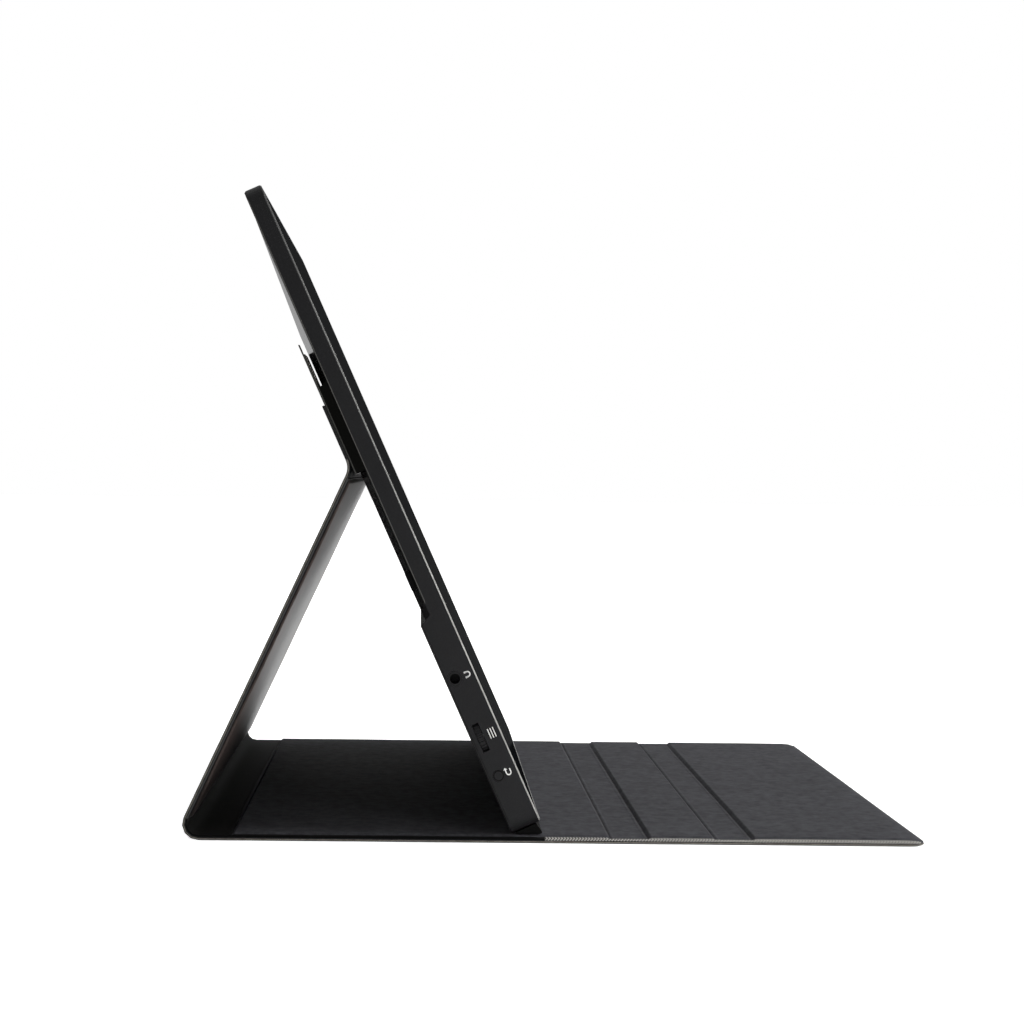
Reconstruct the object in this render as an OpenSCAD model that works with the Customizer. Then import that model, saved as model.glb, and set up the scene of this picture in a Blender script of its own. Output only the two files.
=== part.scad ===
// Portable monitor with a folding cover, standing on the cover.
// The screen faces -Y, X runs along the width and Z is up. The origin lies under the middle of
// the object, on the surface that it stands on.

/* [Monitor] */
// Width of the monitor
monitor_w = 374; // [350:1:400]
// Height of the monitor, measured along its front
monitor_h = 241; // [230:1:256]
// How far the monitor leans back from upright, in degrees
lean = 24.45; // [18:0.05:30]
// Depth of the thin upper part at its side edges
thin_d = 6.4; // [6.2:0.1:7]
// Depth of the raised middle of the back
pillow_d = 8.8; // [8:0.1:9.6]
// Depth of the thick lower part
thick_d = 10.9; // [10.7:0.1:13]
// Height of the thick lower part
step_h = 78.8; // [74:0.2:86]
// Height of the slope between the thick and the thin part
step_run = 2.4; // [1.5:0.1:5]
// Radius of the four corners, seen from the front
corner_r = 6; // [3:0.5:10]
// Wall of the back shell
wall = 1.3; // [1:0.1:1.4]
// Bright chamfer round the front rim
rim_chamfer = 0.7; // [0.4:0.1:1]
// Chamfer along the back edges of the thick part
back_chamfer = 0.8; // [0.4:0.1:1.2]

/* [Raised middle of the back] */
// Flat strip between the side edge and the slope
pillow_margin = 2; // [1:0.5:5]
// Width of the slope at each side
pillow_ramp = 11; // [8:0.5:20]
// Height at which the raised middle has run out
pillow_top = 231; // [215:1:235]
// Height below which the raised middle has its full depth
pillow_full = 188; // [186:1:200]

/* [Display] */
// Thickness of the front glass
glass_t = 0.9; // [0.7:0.1:1]
// Width of the rim round the glass
rim_w = 1.5; // [1.3:0.1:2]
// Border between the display module and the monitor's sides
module_border = 12; // [12:0.5:20]
// Border between the display module and the monitor's upper edge
module_top = 9; // [9:0.5:20]
// Height of the module's lower edge
module_low = 27; // [26:0.5:28]

/* [Controls and sockets] */
// Height of the headphone socket above the lower edge
jack_h = 57.5; // [56:0.5:62]
// Depth of the headphone socket behind the front
jack_d = 7.3; // [7.2:0.1:7.4]
// Radius of the headphone socket's bore
jack_bore_r = 1.8; // [1.75:0.05:1.85]
// Depth of the headphone socket's bore
jack_bore_len = 14; // [12:0.5:15]
// Height of the menu wheel above the lower edge
wheel_h = 35.3; // [34.5:0.1:36.5]
// Depth of the menu wheel behind the front
wheel_d = 7.4; // [7.3:0.1:7.5]
// Outer radius of the menu wheel
wheel_r = 7.6; // [7.2:0.1:7.8]
// Thickness of the menu wheel
wheel_t = 2; // [1.6:0.1:2]
// How far the menu wheel stands out of the side
wheel_proud = 0.5; // [0.2:0.1:0.8]
// Ribs round the menu wheel
wheel_ribs = 30; // [20:1:40]
// Height of the back button above the lower edge
button_h = 20.7; // [20:0.1:22]
// Depth of the back button behind the front
button_d = 7; // [6.9:0.1:7.2]
// Radius of the back button
button_r = 1.85; // [1.6:0.05:2]
// How far the back button and the wheel can be pressed in
press_travel = 0.4; // [0.3:0.05:0.4]
// Heights of the two small data and power sockets on the right side
usb_h = [58, 42];
// Height of the video socket on the right side
hdmi_h = 22; // [20:1:26]

/* [Cover] */
// How far the cover stands out beyond each side of the monitor
cover_overhang = 1; // [0.5:0.1:3]
// Thickness of the cover's outer skin
outer_t = 0.95; // [0.8:0.05:1.1]
// Thickness of the stiffening boards
board_t = 1; // [0.8:0.1:1.4]
// Thickness of the cover's lining
lining_t = 0.65; // [0.5:0.05:0.9]
// Bare margin of the panels along the two sides
side_margin = 4; // [3:0.5:7]
// Bare margin of the panels next to a fold
fold_margin = 1.5; // [1:0.1:2.5]
// Length of the base panel
base_len = 131.2; // [126:0.2:140]
// Width of the first fold band
band_1_len = 13; // [11:0.5:16]
// Length of the second panel
panel_2_len = 23.5; // [20:0.5:30]
// Width of the second fold band
band_2_len = 12.8; // [11:0.5:16]
// Length of the third panel, up to its front margin
panel_3_len = 55.8; // [50:0.2:62]
// Front margin of the third panel
tip_margin = 4.6; // [3:0.2:7]
// How far the crease lies ahead of the spine's bend, which sets the leg's length
crease_lead = 50.5; // [40:0.5:60]
// Outer radius of the spine's bend
bend_r = 5.5; // [4:0.25:7]
// Flat strip between the bend and the base panel
strip_len = 11.4; // [9:0.2:15]

/* [Bracket] */
// Height of the crease on the monitor
crease_h = 138.9; // [137:0.1:141]
// Lower edge of the bracket
bracket_low = 136; // [132:0.5:136]
// Upper edge of the bracket, where it meets the back shell
bracket_high = 169.9; // [168:0.1:176]
// How much lower the upper edge lies at the bracket's outer face
bracket_fall = 1.2; // [0.2:0.1:2]
// Depth of the bracket's outer face behind the monitor's front
bracket_d = 10.5; // [10.3:0.1:11]
// Upper edge of the free ear at each end of the bracket
ear_high = 181; // [176:0.1:183]
// Width of an ear
ear_w = 28; // [15:0.5:60]
// Thickness of an ear
ear_t = 0.9; // [0.7:0.1:1.1]
// Upper edge of the thin tip at an ear's outer corner
ear_tip_high = 184.7; // [183.5:0.1:187]
// Width of the thin tip
ear_tip_w = 6; // [3:0.5:12]
// Height of the flap's cut edge
flap_high = 162.1; // [158:0.1:167]

/* [Hidden] */
$fn = 48;

// Clearances
fit = 0.1;              // between parts that are set into each other
run = 0.05;             // radial play of a turning or sliding fit
stand_gap = 0.3;        // foot strip over the base panel
small = 0.01;           // overlap that keeps a cut clean
seam = 0.02;            // where a soft band meets the panel that turns against it

// Derived sizes of the cover
cover_w = monitor_w + 2 * cover_overhang;
panel_t = outer_t + board_t + lining_t;
band_t = outer_t + lining_t;
front_len = base_len + band_1_len + panel_2_len + band_2_len + panel_3_len + tip_margin;
rear_len = strip_len + bend_r;
function y_at(s) = (front_len - rear_len) / 2 - s;   // s runs forward from the base panel's rear edge

// The stand's triangle: the monitor rests on the base panel and the leg reaches its crease
crease_d = bracket_d + outer_t;
mon_z = panel_t + stand_gap + (thick_d - back_chamfer) * sin(lean) + fit;
crease_z = mon_z + crease_h * cos(lean) - crease_d * sin(lean);
crease_reach = norm([crease_lead, crease_z - bend_r]);
leg_len = sqrt(crease_reach * crease_reach - bend_r * bend_r);
leg_angle = atan2(crease_z - bend_r, crease_lead) - atan2(bend_r, leg_len);
crease_s = crease_lead - strip_len;
mon_s = crease_s + crease_h * sin(lean) + crease_d * cos(lean);
mon_y = y_at(mon_s);

// Depths of the layers behind the front glass
glass_d = 0.15;
cell_t = 1.15;
sheets_t = 0.3;
guide_t = 1.7;
reflector_t = 0.2;
tray_t = 0.4;
cell_d = glass_d + glass_t + 0.05;
sheets_d = cell_d + cell_t;
guide_d = sheets_d + sheets_t;
reflector_d = guide_d + guide_t;
tray_d = reflector_d + reflector_t;
stack_d = tray_d + tray_t;          // back face of the display module
inner_thin = thin_d - wall;         // inner face of the thin part's back wall
inner_thick = thick_d - wall;       // inner face of the thick part's back wall
side_x = monitor_w / 2;
module_w = monitor_w - 2 * module_border;
module_h = monitor_h - module_low - module_top;

// Controls
board_d = stack_d + 0.2;            // front face of the circuit boards
keypad_t = 0.8;
main_t = 1.2;
jack_body_w = 7;
jack_collar_r = 2.55;
slot_len = 10.5;
slot_w = wheel_t + 0.4;
axle_r = 0.8;
wheel_x = -side_x - wheel_proud + wheel_r;
arm_t = 0.25;
arm_w = 5;
carrier_end = wheel_x + wheel_r + 1.4;
switch_gap = press_travel + fit;
cap_proud = 0.3;
tab_t = 0.6;
tab_x = -side_x + wall + 0.2;
stem_r = 0.9;
stem_end = tab_x + tab_t + 2.7;
socket_wall = 0.3;
usb_size = [9, 3.2];
hdmi_size = [11.2, 3.2];
socket_len = 8;
socket_d = board_d + main_t + 0.1 + usb_size[1] / 2;

// Screws
screw_r = 1;
screw_head_r = 1.8;
screw_head_t = 1;
boss_r = 2.6;
rear_screw_x = side_x - wall - boss_r - 2.6;
rear_screw_low = rim_w + boss_r + 0.5;
rear_screw_at = concat([for (side = [-1, 1]) [side * rear_screw_x, step_h - wall - boss_r - 4.1]],
                       [for (share = [-0.8, -0.32, 0.32, 0.8]) [share * side_x, rear_screw_low]]);
bracket_screw_at = [for (share = [-0.75, -0.27, 0.27, 0.75])
    [share * side_x, (bracket_low + bracket_high) / 2 - 3]];
board_low = rear_screw_low + boss_r + 0.8;      // lower edge of the circuit boards
board_screw_in = screw_head_r + 2.2;            // board screws from the board's edges
main_box = [[0.375 * side_x, board_low], [side_x - wall - 1.2, step_h - 10.8]];
board_screw_at = [for (x = [main_box[0][0] + 5, main_box[1][0] - socket_len - board_screw_in])
    for (h = [main_box[0][1] + board_screw_in, main_box[1][1] - board_screw_in]) [x, h]];
rib_at = [for (share = [-0.54, 0, 0.54]) share * side_x];

// Magnets
magnet_size = [12, 5, 1.2];
magnet_x = [for (share = [-0.8, -0.27, 0.27, 0.8]) share * side_x];

// Shape helpers. Monitor parts are drawn in x, depth behind the front, and height.
function arc(c, r, a0, a1, n) =
    [for (i = [0:n]) let (a = a0 + (a1 - a0) * i / n) c + r * [cos(a), sin(a)]];
function rounded(lo, hi, r, n = 8) = concat(
    arc([hi[0] - r, hi[1] - r], r, 0, 90, n), arc([lo[0] + r, hi[1] - r], r, 90, 180, n),
    arc([lo[0] + r, lo[1] + r], r, 180, 270, n), arc([hi[0] - r, lo[1] + r], r, 270, 360, n));
module on_monitor() { translate([0, mon_y, mon_z]) rotate([-lean, 0, 0]) children(); }
module along_x(w) { rotate([90, 0, 90]) linear_extrude(w, center = true) children(); }
module along_d(d0, d1) { translate([0, d1, 0]) rotate([90, 0, 0]) linear_extrude(d1 - d0) children(); }
module block(x0, x1, d0, d1, h0, h1) { translate([x0, d0, h0]) cube([x1 - x0, d1 - d0, h1 - h0]); }
module rod_x(x0, x1, d, h, r) { translate([x0, d, h]) rotate([0, 90, 0]) cylinder(x1 - x0, r = r); }
module rod_d(d0, d1, x, h, r) { translate([x, d1, h]) rotate([90, 0, 0]) cylinder(d1 - d0, r = r); }

// Back shell. The outer form, drawn in by i on every side.
module raised_middle(i) {
    base_x = side_x - pillow_margin - i;
    top_x = base_x - pillow_ramp;
    low_d = thin_d - i - 0.5;
    intersection() {
        along_x(monitor_w)
            polygon([[low_d, step_h - 2], [pillow_d - i, step_h - 2], [pillow_d - i, pillow_full],
                     [thin_d - i, pillow_top - i], [low_d, pillow_top - i]]);
        linear_extrude(monitor_h)
            polygon([[-base_x, low_d], [base_x, low_d], [base_x, thin_d - i],
                     [top_x, pillow_d - i], [-top_x, pillow_d - i], [-base_x, thin_d - i]]);
    }
}
module outer_form() {
    c = rim_chamfer;
    b = back_chamfer;
    intersection() {
        along_d(-1, thick_d + 1) polygon(rounded([-side_x, 0], [side_x, monitor_h], corner_r));
        union() {
            along_x(monitor_w + 2)
                polygon([[0, c], [c, 0], [thick_d - b, 0], [thick_d, b], [thick_d, step_h],
                         [thin_d, step_h + step_run], [thin_d, monitor_h - b],
                         [thin_d - b, monitor_h], [c, monitor_h], [0, monitor_h - c]]);
            raised_middle(0);
        }
        linear_extrude(monitor_h)
            polygon([[c - side_x, 0], [side_x - c, 0], [side_x, c], [side_x, thick_d - b],
                     [side_x - b, thick_d], [b - side_x, thick_d], [-side_x, thick_d - b],
                     [-side_x, c]]);
    }
}
module inner_form() {
    intersection() {
        along_d(-1, thick_d)
            polygon(rounded([wall - side_x, wall], [side_x - wall, monitor_h - wall], corner_r - wall));
        union() {
            along_x(monitor_w)
                polygon([[-1, 0], [inner_thick, 0], [inner_thick, step_h - wall],
                         [inner_thin, step_h + step_run - wall], [inner_thin, monitor_h], [-1, monitor_h]]);
            raised_middle(wall);
        }
    }
}
module socket_hole(h, size, extra) {
    translate([side_x - wall - 1, socket_d, h]) rotate([90, 0, 90]) linear_extrude(wall + 2)
        polygon(rounded([-size[1] / 2 - extra, -size[0] / 2 - extra],
                        [size[1] / 2 + extra, size[0] / 2 + extra], size[1] / 2, 6));
}
rib_reach = side_x - pillow_margin - pillow_ramp - wall - 6;
module rear_cover() {
    color("#2b2b2c") on_monitor() difference() {
        union() {
            difference() {
                outer_form();
                inner_form();
            }
            // Ribs across the raised middle, on the inner face of the back wall
            for (x = rib_at)
                block(x - 0.5, x + 0.5, inner_thin + 0.2, pillow_d - wall + small, step_h + 6, pillow_full - 6);
            for (h = [step_h + 26, pillow_full - 20])
                block(-rib_reach, rib_reach, inner_thin + 0.2, pillow_d - wall + small, h - 0.5, h + 0.5);
            // Bosses for the screws of the back shell and of the bracket
            for (p = rear_screw_at)
                rod_d(stack_d, inner_thick + small, p[0], p[1], boss_r);
            for (p = bracket_screw_at)
                rod_d(inner_thin + 0.1, pillow_d - wall + small, p[0], p[1], boss_r);
        }
        for (p = rear_screw_at) {
            rod_d(stack_d - 1, thick_d + 1, p[0], p[1], screw_r + run);
            rod_d(thick_d - screw_head_t - fit, thick_d + 1, p[0], p[1], screw_head_r + fit);
        }
        for (p = bracket_screw_at)
            rod_d(inner_thin - 1, pillow_d + 1, p[0], p[1], screw_r);
        // Left side: socket, wheel slot and button
        rod_x(-side_x - 1, wall - side_x + 1, jack_d, jack_h, jack_collar_r + fit);
        block(-side_x - 1, wall - side_x + 1, wheel_d - slot_w / 2, wheel_d + slot_w / 2,
              wheel_h - slot_len / 2, wheel_h + slot_len / 2);
        rod_x(-side_x - 1, wall - side_x + 1, button_d, button_h, button_r + fit);
        // Right side: three sockets
        for (h = usb_h) socket_hole(h, usb_size, 0.2);
        socket_hole(hdmi_h, hdmi_size, 0.2);
    }
}

module chassis_frame() {
    out_x = side_x - rim_w - 0.2;
    in_x = module_w / 2 + 0.3;
    color("#1d1d1f") on_monitor() difference() {
        along_d(cell_d, stack_d) difference() {
            polygon(rounded([-out_x, rim_w + 0.2], [out_x, monitor_h - rim_w - 0.2], corner_r - rim_w));
            translate([-in_x, rim_w + 5.5]) square([2 * in_x, module_low + module_h + 0.3 - rim_w - 5.5]);
        }
        for (p = rear_screw_at)
            rod_d(cell_d + 1, stack_d + 1, p[0], p[1], screw_r);
        for (x = magnet_x)
            block(x - magnet_size[0] / 2 - fit, x + magnet_size[0] / 2 + fit, cell_d - 1,
                  cell_d + magnet_size[2], magnet_h - fit, magnet_h + magnet_size[1] + fit);
    }
}
magnet_h = module_low + module_h + 1.2;

module front_glass() {
    x = side_x - rim_w;
    color("#0b0c0e") on_monitor()
        along_d(glass_d, glass_d + glass_t)
            polygon(rounded([-x, rim_w], [x, monitor_h - rim_w], corner_r - rim_w));
}

// One flat layer of the display module, drawn in by i from the module's outline
module layer(d, t, i) {
    block(i - module_w / 2, module_w / 2 - i, d, d + t, module_low + i, module_low + module_h - i);
}
module lcd_cell() { color("#15161a") on_monitor() layer(cell_d, cell_t, 0); }
module diffuser_sheets() { color("#e8e8e8") on_monitor() layer(sheets_d, sheets_t, 1); }
module light_guide() { color("#d8e4ea") on_monitor() layer(guide_d, guide_t, 1.5); }
module reflector_sheet() { color("#f4f4f4") on_monitor() layer(reflector_d, reflector_t, 1); }

tray_low = 8.5;
module backlight_tray() {
    color("#8d9094") on_monitor() difference() {
        block(-module_w / 2, module_w / 2, sheets_d, stack_d, tray_low, module_low + module_h);
        block(tray_t - module_w / 2, module_w / 2 - tray_t, sheets_d - 1, tray_d,
              tray_low + tray_t, module_low + module_h - tray_t);
    }
}

led_count = 24;
module led_strip() {
    step = (module_w - 12) / led_count;
    low = module_low + 1.3;
    color("#e9e2b8") on_monitor() union() {
        block(6 - module_w / 2, module_w / 2 - 6, guide_d + 0.1, tray_d, low - 2.4, low - 1.4);
        for (i = [0:led_count - 1])
            block(6 - module_w / 2 + step * (i + 0.25), 6 - module_w / 2 + step * (i + 0.75),
                  guide_d + 0.3, tray_d - 0.2, low - 1.4 - small, low - 0.5);
    }
}

tcon_low = board_low + 3;
tcon_h = 12;
tcon_box = [[-0.64 * side_x, tcon_low], [0.32 * side_x, tcon_low + tcon_h]];
module tcon_board() {
    color("#1f5a37") on_monitor()
        block(tcon_box[0][0], tcon_box[1][0], board_d - 0.15, board_d + keypad_t, tcon_box[0][1], tcon_box[1][1]);
}
module main_board() {
    color("#1f5a37") on_monitor() difference() {
        block(main_box[0][0], main_box[1][0], board_d - 0.15, board_d + main_t, main_box[0][1], main_box[1][1]);
        for (p = board_screw_at) rod_d(board_d - 1, board_d + main_t + 1, p[0], p[1], screw_r + run);
    }
}
// Chips: place from the board's corner, width, height, thickness
chip_at = [[26, 32, 14, 14, 1.2], [52, 38, 10, 10, 1], [50, 18, 8, 5, 1.6], [72, 46, 6, 8, 2],
           [72, 22, 7, 7, 2.6], [24, 12, 12, 4, 1.4]];
module board_chips() {
    top = board_d + main_t;
    color("#202124") on_monitor() translate([main_box[0][0], 0, main_box[0][1]]) for (c = chip_at)
        block(c[0] - c[2] / 2, c[0] + c[2] / 2, top, top + c[4], c[1] - c[3] / 2, c[1] + c[3] / 2);
}
cable_lap = 16;
cable_w = 7;
module display_cable() {
    top = board_d + main_t;
    x0 = tcon_box[1][0] - cable_lap;
    h1 = tcon_box[1][1] - 1.5;
    h0 = h1 - cable_w;
    color("#c9b26a") on_monitor() union() {
        block(x0, main_box[0][0] + cable_lap / 2, top, top + 0.3, h0, h1);
        block(x0, x0 + cable_lap / 3, board_d + keypad_t, top + small, h0, h1);
    }
}

keypad_in = 1.7;                // from the side wall's inner face
keypad_w = 18;
keypad_past_button = 10.7;
keypad_past_wheel = 12.7;
keypad_box = [[-side_x + wall + keypad_in, button_h - keypad_past_button],
              [-side_x + wall + keypad_in + keypad_w, wheel_h + keypad_past_wheel]];
module keypad_board() {
    color("#1f5a37") on_monitor()
        block(keypad_box[0][0], keypad_box[1][0], board_d - 0.15, board_d + keypad_t,
              keypad_box[0][1], keypad_box[1][1]);
}
module keypad_cable() {
    color("#d9d9d6") on_monitor()
        block(keypad_box[1][0], main_box[0][0], board_d - 0.15, board_d + 0.15,
              wheel_h - cable_w / 2, wheel_h + cable_w / 2);
}

module headphone_jack() {
    color("#17171a") on_monitor() difference() {
        union() {
            block(wall - side_x + 0.1, -side_x + jack_bore_len + 1.5, stack_d + fit, inner_thick - fit,
                  jack_h - jack_body_w / 2, jack_h + jack_body_w / 2);
            rod_x(-side_x, wall - side_x + 0.2, jack_d, jack_h, jack_collar_r);
        }
        rod_x(-side_x - 1, -side_x + jack_bore_len, jack_d, jack_h, jack_bore_r);
    }
}

// Metal shell of a socket on the right side, with its tongue, open outwards
module socket(h, size) {
    r = size[1] / 2;
    inner = size - 2 * [socket_wall, socket_wall];
    color("#a9abad") on_monitor() translate([side_x - socket_len, socket_d, h]) rotate([90, 0, 90]) {
        difference() {
            linear_extrude(socket_len)
                polygon(rounded([-size[1] / 2, -size[0] / 2], [size[1] / 2, size[0] / 2], r - small, 6));
            translate([0, 0, 1]) linear_extrude(socket_len)
                polygon(rounded([-inner[1] / 2, -inner[0] / 2], [inner[1] / 2, inner[0] / 2],
                                r - socket_wall - small, 6));
        }
        translate([-0.35, -inner[0] * 0.38, 0.5]) cube([0.7, inner[0] * 0.76, socket_len - 1.5]);
    }
}
module usb_socket_upper() { socket(usb_h[0], usb_size); }
module usb_socket_lower() { socket(usb_h[1], usb_size); }
module hdmi_socket() { socket(hdmi_h, hdmi_size); }

// Menu wheel: a ribbed disc on an axle in a sliding fork
module menu_wheel() {
    notch = 0.35;
    color("#26262a") on_monitor() translate([wheel_x, 0, wheel_h]) difference() {
        along_d(wheel_d - wheel_t / 2, wheel_d + wheel_t / 2) polygon([
            for (i = [0:wheel_ribs - 1]) for (k = [0:3])
                let (a = 360 * (i + [0, 0.35, 0.5, 0.85][k]) / wheel_ribs,
                     r = wheel_r - (k < 2 ? 0 : notch))
                [r * cos(a), r * sin(a)]]);
        rod_d(wheel_d - wheel_t, wheel_d + wheel_t, 0, 0, axle_r + run);
    }
}
module wheel_axle() {
    reach = wheel_t / 2 + fit + arm_t;
    color("#b9bbbd") on_monitor() rod_d(wheel_d - reach, wheel_d + reach, wheel_x, wheel_h, axle_r);
}
module wheel_carrier() {
    in = wheel_t / 2 + fit;
    out = in + arm_t;
    color("#2f3033") on_monitor() difference() {
        union() {
            for (side = [-1, 1])
                block(wheel_x - 2.6, carrier_end, wheel_d + min(side * in, side * out),
                      wheel_d + max(side * in, side * out), wheel_h - arm_w / 2, wheel_h + arm_w / 2);
            block(carrier_end - 1, carrier_end, wheel_d - out, wheel_d + out,
                  wheel_h - arm_w / 2, wheel_h + arm_w / 2);
        }
        rod_d(wheel_d - out - 1, wheel_d + out + 1, wheel_x, wheel_h, axle_r);
    }
}
module wheel_switch() {
    color("#3c3d40") on_monitor()
        block(carrier_end + switch_gap, carrier_end + switch_gap + 2.5, board_d + keypad_t,
              wheel_d + 1, wheel_h - 3, wheel_h + 3);
}
module back_button() {
    color("#26262a") on_monitor() union() {
        rod_x(-side_x - cap_proud, tab_x + small, button_d, button_h, button_r);
        block(tab_x, tab_x + tab_t, button_d - 1.2, button_d + 1.2, button_h - 3, button_h + 3);
        rod_x(tab_x + tab_t - small, stem_end, button_d, button_h, stem_r);
    }
}
module back_switch() {
    color("#3c3d40") on_monitor()
        block(stem_end + switch_gap, stem_end + switch_gap + 3, board_d + keypad_t,
              button_d + 1.2, button_h - 1.5, button_h + 1.5);
}

module screw(d_tip, d_head, p) {
    rod_d(d_tip, d_head, p[0], p[1], screw_r);
    rod_d(d_head - screw_head_t, d_head, p[0], p[1], screw_head_r);
}
module rear_screws() {
    color("#6c6e70") on_monitor() for (p = rear_screw_at) screw(cell_d + 1.2, thick_d - fit, p);
}
module board_screws() {
    top = board_d + main_t + screw_head_t;
    color("#6c6e70") on_monitor() for (p = board_screw_at) screw(board_d - 0.1, top, p);
}
module bracket_screws() {
    color("#6c6e70") on_monitor() for (p = bracket_screw_at) screw(inner_thin + 0.2, bracket_d, p);
}
module bezel_magnets() {
    color("#8f9295") on_monitor() for (x = magnet_x)
        block(x - magnet_size[0] / 2, x + magnet_size[0] / 2, cell_d, cell_d + magnet_size[2],
              magnet_h, magnet_h + magnet_size[1]);
}

// Small rubber blocks behind the side edges, above the step
pad_low = step_h + 12.5;
pad_h = 6.3;
module rear_pads() {
    color("#161616") on_monitor() difference() {
        for (side = [-1, 1])
            block(side * (side_x - 5) - 4, side * (side_x - 5) + 4, thin_d - 0.5, pillow_d - 0.1,
                  pad_low, pad_low + pad_h);
        outer_form();
    }
}

// Rubber wedge under the lower edge. Its underside lies level over the base panel.
module foot_strip() {
    foot_z = panel_t + stand_gap;
    function under(d) = (foot_z - mon_z + d * sin(lean)) / cos(lean);
    heel = thick_d - back_chamfer - 0.6;
    color("#141414") on_monitor() along_x(monitor_w - 4)
        polygon([[1.8, 0], [heel, 0], [heel, under(heel)], [2.2, under(2.2)], [1.5, under(1.5) + 0.15],
                 [1.1, under(1.1) + 0.7], [1.2, under(1.2) + 1.5]]);
}

// Cover bracket: plate on the raised middle, end blocks down to the side edges, and free ears
module cover_bracket() {
    x = side_x - 0.5;
    outer_high = bracket_high - bracket_fall;
    color("#18181a") on_monitor() difference() {
        union() {
            along_x(2 * x)
                polygon([[thin_d, bracket_low], [bracket_d, bracket_low], [bracket_d, outer_high],
                         [pillow_d, outer_high], [thin_d, bracket_high]]);
            for (side = [0, 1]) mirror([side, 0, 0]) {
                block(x - ear_w, x, bracket_d - ear_t, bracket_d, outer_high - small, ear_high);
                block(x - ear_tip_w, x, bracket_d - ear_t / 2, bracket_d, ear_high - small, ear_tip_high);
            }
        }
        outer_form();
        for (p = bracket_screw_at) {
            rod_d(pillow_d - 1, bracket_d + 1, p[0], p[1], screw_r + run);
            rod_d(bracket_d - screw_head_t, bracket_d + 1, p[0], p[1], screw_head_r + fit);
        }
    }
}

// Soft fold between the flap and the leg: the outer skin alone, mitred at the crease
crease_lap = 3;
crease_clear = 0.05;
crease_t = outer_t - crease_clear;      // a little thinner, so that it clears the bracket
module flap_skin() {
    color("#3b3b3e") on_monitor()
        block(-cover_w / 2, cover_w / 2, bracket_d, crease_d, crease_h + crease_lap, flap_high);
}
module crease_band() {
    k = [y_at(crease_s), crease_z];
    along_leg = [cos(leg_angle), -sin(leg_angle)];
    along_mon = [sin(lean), cos(lean)];
    out_leg = [sin(leg_angle), cos(leg_angle)];
    out_mon = [cos(lean), -sin(lean)];
    inner = k - crease_t * (out_leg + out_mon) / (1 + out_leg * out_mon);
    p = k + crease_lap * along_leg;
    q = k + (crease_lap - seam) * along_mon;
    color("#3b3b3e") along_x(cover_w)
        polygon([p, k, q, q - crease_t * out_mon, inner, p - crease_t * out_leg]);
}

// Cover panels. Each is drawn flat: x, distance along the panel, and height over its outer face.
module on_base(s) { translate([0, y_at(s), 0]) mirror([0, 1, 0]) children(); }
module on_leg() {
    translate([0, y_at(-strip_len) + bend_r * sin(leg_angle), bend_r + bend_r * cos(leg_angle)])
        rotate([180 - leg_angle, 0, 0]) children();
}
module outer_skin(len, tip_r) {
    color("#3b3b3e") linear_extrude(outer_t) panel_outline(len, tip_r);
}
module panel_outline(len, tip_r) {
    x = cover_w / 2;
    polygon(tip_r > 0
        ? concat([[-x, 0], [x, 0]], arc([x - tip_r, len - tip_r], tip_r, 0, 90, 8),
                 arc([tip_r - x, len - tip_r], tip_r, 90, 180, 8))
        : [[-x, 0], [x, 0], [x, len], [-x, len]]);
}
module board(len, m0, m1) {
    color("#6d6358") translate([side_margin - cover_w / 2, m0, outer_t])
        cube([cover_w - 2 * side_margin, len - m0 - m1, board_t]);
}
module lining(len, m0, m1, tip_r) {
    x = cover_w / 2;
    color("#3a3a3d") difference() {
        intersection() {
            translate([0, 0, outer_t]) linear_extrude(panel_t) panel_outline(len, tip_r);
            along_x(cover_w + 2)
                polygon([[0, outer_t], [len, outer_t], [len, band_t], [len - m1, panel_t],
                         [m0, panel_t], [0, band_t]]);
            translate([0, len + 1, 0]) rotate([90, 0, 0]) linear_extrude(len + 2)
                polygon([[-x, outer_t], [x, outer_t], [x, band_t], [x - side_margin, panel_t],
                         [side_margin - x, panel_t], [-x, band_t]]);
        }
        translate([side_margin - x, m0, 0]) cube([2 * (x - side_margin), len - m0 - m1, outer_t + board_t]);
    }
}

module base_outer_skin() { on_base(0) outer_skin(base_len, 0); }
module base_board() { on_base(0) board(base_len, fold_margin, fold_margin); }
module base_lining() { on_base(0) lining(base_len, fold_margin, fold_margin, 0); }

s_2 = base_len + band_1_len;
module panel_2_outer_skin() { on_base(s_2) outer_skin(panel_2_len, 0); }
module panel_2_board() { on_base(s_2) board(panel_2_len, fold_margin, fold_margin); }
module panel_2_lining() { on_base(s_2) lining(panel_2_len, fold_margin, fold_margin, 0); }

s_3 = s_2 + panel_2_len + band_2_len;
tip_len = panel_3_len + tip_margin;
tip_corner_r = 5;
board_magnet_t = board_t;
module panel_3_outer_skin() { on_base(s_3) outer_skin(tip_len, tip_corner_r); }
module panel_3_board() {
    on_base(s_3) difference() {
        board(tip_len, fold_margin, tip_margin);
        magnet_pockets(fit);
    }
}
module panel_3_lining() { on_base(s_3) lining(tip_len, fold_margin, tip_margin, tip_corner_r); }
module magnet_pockets(extra) {
    for (x = magnet_x)
        translate([x - magnet_size[0] / 2 - extra, tip_len - tip_margin - magnet_size[1] - 1 - extra, outer_t])
            cube([magnet_size[0] + 2 * extra, magnet_size[1] + 2 * extra, board_magnet_t + (extra > 0 ? 1 : 0)]);
}
module panel_3_magnets() { color("#8f9295") on_base(s_3) magnet_pockets(0); }

leg_rigid = leg_len - crease_lap;
leg_lining_end = leg_rigid - 0.5;
module leg_outer_skin() { on_leg() outer_skin(leg_rigid, 0); }
module leg_board() { on_leg() board(leg_lining_end, fold_margin, fold_margin); }
module leg_lining() { on_leg() lining(leg_lining_end, fold_margin, fold_margin, 0); }

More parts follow.
